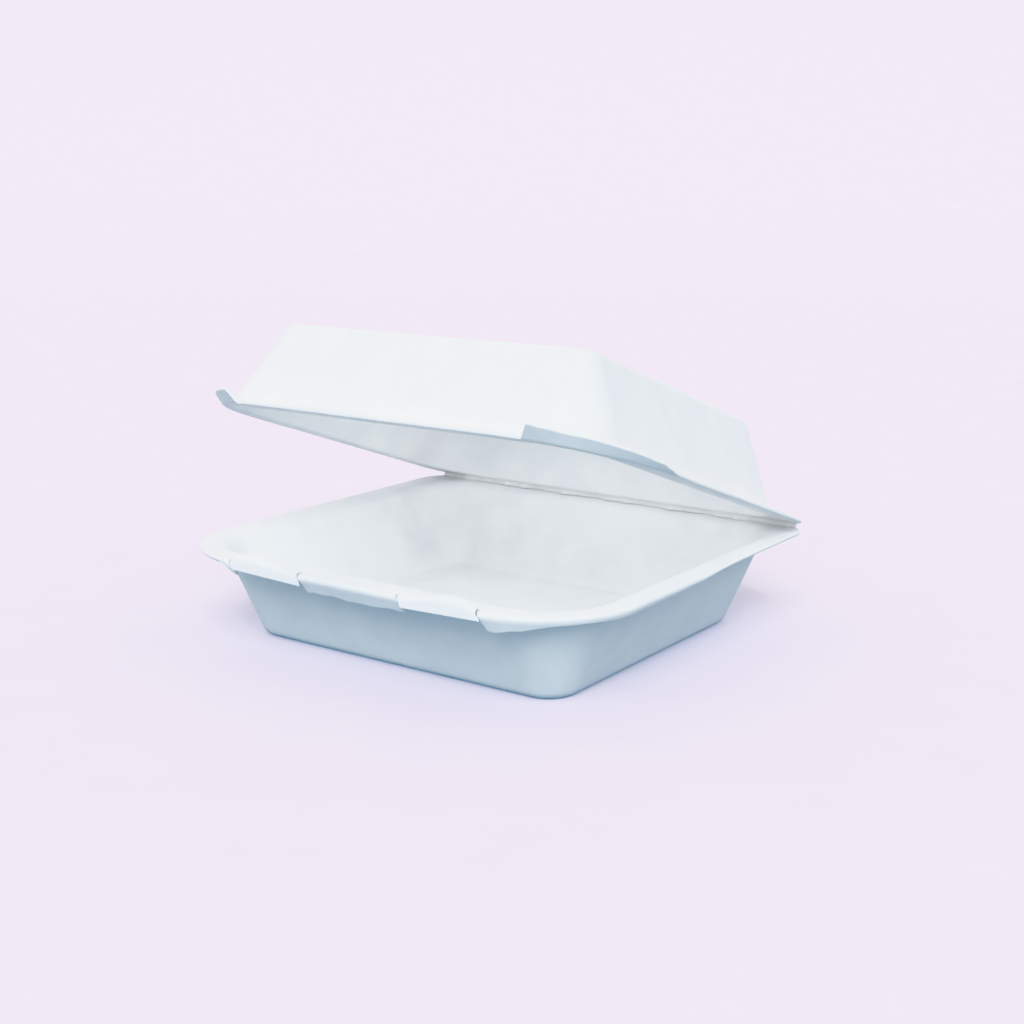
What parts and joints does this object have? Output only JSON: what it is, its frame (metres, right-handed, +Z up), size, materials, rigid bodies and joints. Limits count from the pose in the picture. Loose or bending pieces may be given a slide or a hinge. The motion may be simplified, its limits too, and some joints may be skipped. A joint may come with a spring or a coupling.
{
  "type": "foam clamshell container",
  "caption": "White foam take-out container: a tapered tray and a matching lid joined by a living hinge, with turned lips and latch tongues along the front.",
  "frame": {"origin": "centre of the tray's base, on the surface that it stands on", "axes": "+X along the hinge, to the right as seen from the front; -Y is the front; +Z is up"},
  "size_m": [0.2154, 0.1971, 0.1318],
  "materials": {
    "foam": "satin",
    "crushed_foam": "satin"
  },
  "bodies": {
    "tray": {"tray": "foam", "living_hinge": "crushed_foam"},
    "lid": {"lid": "foam"}
  },
  "joints": [
    {"name": "lid_hinge", "type": "hinge", "parent": "tray", "child": "lid", "pos_m": [0, 0.0925, 0.0412], "axis": [-1, 0, 0], "range_deg": [-19.3, 160.7], "deforming": ["living_hinge"]}
  ]
}
